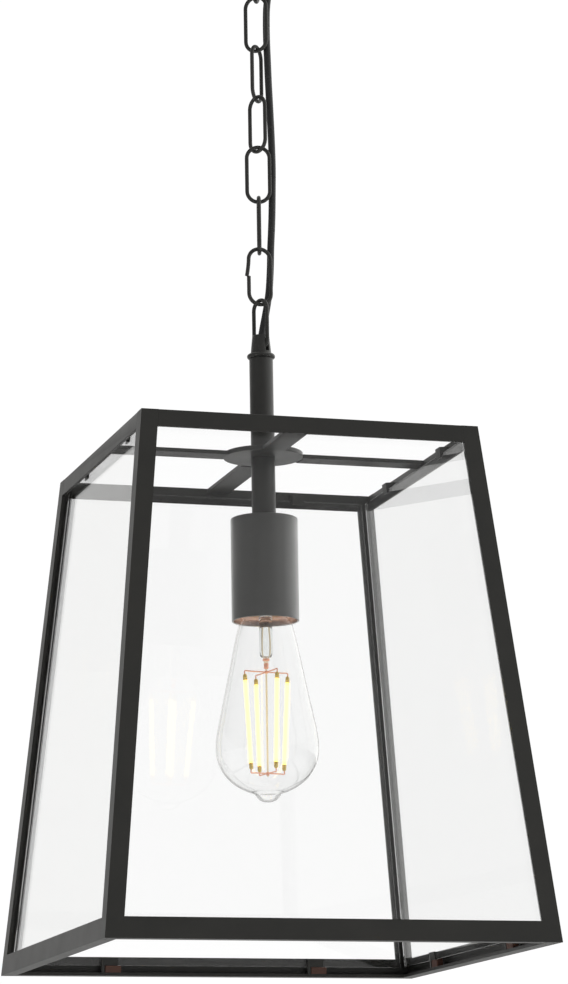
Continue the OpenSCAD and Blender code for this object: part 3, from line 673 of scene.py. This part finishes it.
# The glass stem: a flare that closes the neck, a tube and its rounded end
stem = [(0, 86), (10.6, 85.9), (11.4, 85.5), (9, 84.9), (5.6, 84.2), (4.2, 82.8), (4, 80)]
stem += [(4, 62), (3.9, 59), (3.2, 57.4), (0, 57.2)]
verts, faces = turned([(r, z + BELLY_Z) for r, z in stem], 64, closed=False)
piece("stem_tube", verts, faces, stem_glass, "bulb", "glass_stem", slot="bulb_glass")


def on_axis(z):
    return Vector((0, 0, BELLY_Z + z))


def filament_point(i, radius, z):
    a = math.radians(FILAMENT_YAW + 360 / FILAMENT_COUNT * i)
    return Vector((radius * math.cos(a), radius * math.sin(a), BELLY_Z + z))


def joined(parts):
    """One mesh from several."""
    verts, faces = [], []
    for v, f in parts:
        faces += [tuple(k + len(verts) for k in face) for face in f]
        verts += v
    return verts, faces


def filament_rod(foot, top):
    """Straight rod with faint ribs."""
    line = [foot.lerp(top, k / 60) for k in range(61)]
    return sweep(line, lambda k: FILAMENT_D / 2 + 0.04 * math.sin(k * 2.4), 20)


def filament_end(tip, inner):
    """Metal end over the last twentieth of a filament, narrowing past its tip."""
    out = (tip - inner).normalized()
    return sweep([inner, tip, tip + out * 0.5, tip + out * 1.1],
                 lambda k: (1.28, 1.28, 1.1, 0.5)[k], 20)


def lead_arm(i, radius, z_from, z_to):
    """Wire from a filament's end, straight up or down and then level to the centre rod."""
    arm = [filament_point(i, radius, z_from),
           filament_point(i, radius, (z_from * 3 + z_to) / 4), filament_point(i, radius, z_to),
           filament_point(i, radius * 0.7, z_to), filament_point(i, 0.5, z_to)]
    return sweep(spline(arm, 0.8), 0.4, 10)


def crimp(low, high, radius):
    """Short rolled collar on the centre rod."""
    line = [on_axis(low + (high - low) * k / 6) for k in range(7)]
    return sweep(line, lambda k: radius * (0.8, 1, 1, 0.9, 1, 1, 0.8)[k], 18)


def stem_lead(side):
    """Lead that comes down inside the glass stem, on one side of the axis."""
    bend = [(1.4, 76), (1.8, 66), (1.6, 58), (1.0, 53)]
    return sweep(spline([(side * x, 0, BELLY_Z + z) for x, z in bend], 1.5), 0.35, 10)


rods, ends, wires = [], [], []
top_r, top_z = FILAMENT_TOP
foot_r, foot_z = FILAMENT_FOOT
for i in range(FILAMENT_COUNT):
    foot, top = filament_point(i, foot_r, foot_z), filament_point(i, top_r, top_z)
    rods.append(filament_rod(foot, top))
    ends += [filament_end(foot, foot.lerp(top, 0.05)), filament_end(top, top.lerp(foot, 0.05))]
    wires += [lead_arm(i, top_r, top_z + 0.1, top_z + 3),
              lead_arm(i, foot_r, foot_z - 0.1, foot_z - 3)]
verts, faces = joined(rods)
piece("filament_rods", verts, faces, filament, "bulb", "filaments", slot="filament")
verts, faces = joined(ends)
piece("filament_ends", verts, faces, gold_wire, "bulb", slot="brass")
wires += [crimp(50, 53.5, 1.5), crimp(55, 56.4, 2.2), crimp(47.2, 48.8, 1.2),
          crimp(-16.4, -14.2, 1.0)]
verts, faces = joined(wires)
piece("lead_wires", verts, faces, copper, "bulb", "filament_wires", slot="copper_wire")
core = sweep([on_axis(z) for z in (57.3, 50, 40, 30, 20, 10, 0, -10, -17)], 0.6, 14)
verts, faces = joined([core, stem_lead(-1), stem_lead(1)])
piece("centre_rod", verts, faces, rod_glass, "bulb", "filament_wires", slot="bulb_glass")

# ---------- studio ----------

floor_mat, t, bsdf = material("floor")
t.links.new(ramp(t, noise(t, 8, 3), [(0.3, (0.85, 0.85, 0.845)), (0.7, (0.87, 0.87, 0.865))]),
            bsdf.inputs["Base Color"])
bsdf.inputs["Roughness"].default_value = 0.8
EDGE, FLOOR_Z = 28000, -1500
floor = piece("floor", [(-EDGE, -EDGE, FLOOR_Z), (EDGE, -EDGE, FLOOR_Z), (EDGE, EDGE, FLOOR_Z),
                        (-EDGE, EDGE, FLOOR_Z)], [(0, 1, 2, 3)], floor_mat, None)

world = bpy.data.worlds.new("studio")
scene.world = world
world.use_nodes = True
t = world.node_tree
t.nodes.clear()
sky_out = t.nodes.new("ShaderNodeOutputWorld")
sky = t.nodes.new("ShaderNodeBackground")
t.links.new(sky.outputs[0], sky_out.inputs[0])
# The studio is dim on the near left and bright to the right and behind the lantern
BRIGHT_SIDE, DIMMEST, BRIGHTEST = (0.85, 0.5, 0.1), -0.6, 0.95
PLAIN_BACK = 1.03  # what the camera sees, straight or through glass
where = t.nodes.new("ShaderNodeTexCoord").outputs["Generated"]
toward = t.nodes.new("ShaderNodeVectorMath")
toward.operation = "DOT_PRODUCT"
toward.inputs[1].default_value = BRIGHT_SIDE
t.links.new(where, toward.inputs[0])
depth = t.nodes.new("ShaderNodeMapRange")
depth.inputs["From Min"].default_value = DIMMEST
depth.inputs["From Max"].default_value = BRIGHTEST
t.links.new(toward.outputs["Value"], depth.inputs[0])
studio = ramp(t, depth.outputs[0], [(0.0, (0.24, 0.24, 0.24)), (0.35, (0.42, 0.42, 0.42)),
                                    (0.55, (0.76, 0.76, 0.75)), (0.8, (0.98, 0.98, 0.97)),
                                    (1.0, (1.3, 1.3, 1.28))])
# Rays that haven't yet met a matt or shiny surface see the plain back
path = t.nodes.new("ShaderNodeLightPath")
bounces = t.nodes.new("ShaderNodeMath")
bounces.operation = "ADD"
t.links.new(path.outputs["Diffuse Depth"], bounces.inputs[0])
t.links.new(path.outputs["Glossy Depth"], bounces.inputs[1])
seen = t.nodes.new("ShaderNodeMath")
seen.operation = "LESS_THAN"
seen.inputs[1].default_value = 0.5
t.links.new(bounces.outputs[0], seen.inputs[0])
pick = t.nodes.new("ShaderNodeMix")
pick.data_type = "RGBA"
colour_a, colour_b = pick.inputs[6], pick.inputs[7]
t.links.new(seen.outputs[0], pick.inputs["Factor"])
t.links.new(studio, colour_a)
colour_b.default_value = (PLAIN_BACK, PLAIN_BACK, PLAIN_BACK, 1)
t.links.new(pick.outputs[2], sky.inputs["Color"])
sky.inputs["Strength"].default_value = 1.0


def area(name, place, aim, size, power):
    """Soft rectangular light, in metres and watts, that shows in no glass or gloss."""
    data = bpy.data.lights.new(name, "AREA")
    data.shape = "RECTANGLE"
    data.size, data.size_y = size
    data.energy = power
    o = bpy.data.objects.new(name, data)
    scene.collection.objects.link(o)
    o.location = place
    o.rotation_euler = (Vector(aim) - Vector(place)).to_track_quat("-Z", "Y").to_euler()
    o.visible_camera = False
    o.visible_glossy = False
    o.visible_transmission = False


area("key", (-1.6, -1.2, 1.2), (0, 0, -0.5), (1.6, 1.6), 14)
area("side", (2.4, -0.4, 0.1), (0, 0, -0.5), (1.2, 2.0), 34)

scene.view_settings.view_transform = "Standard"
scene.view_settings.look = "None"
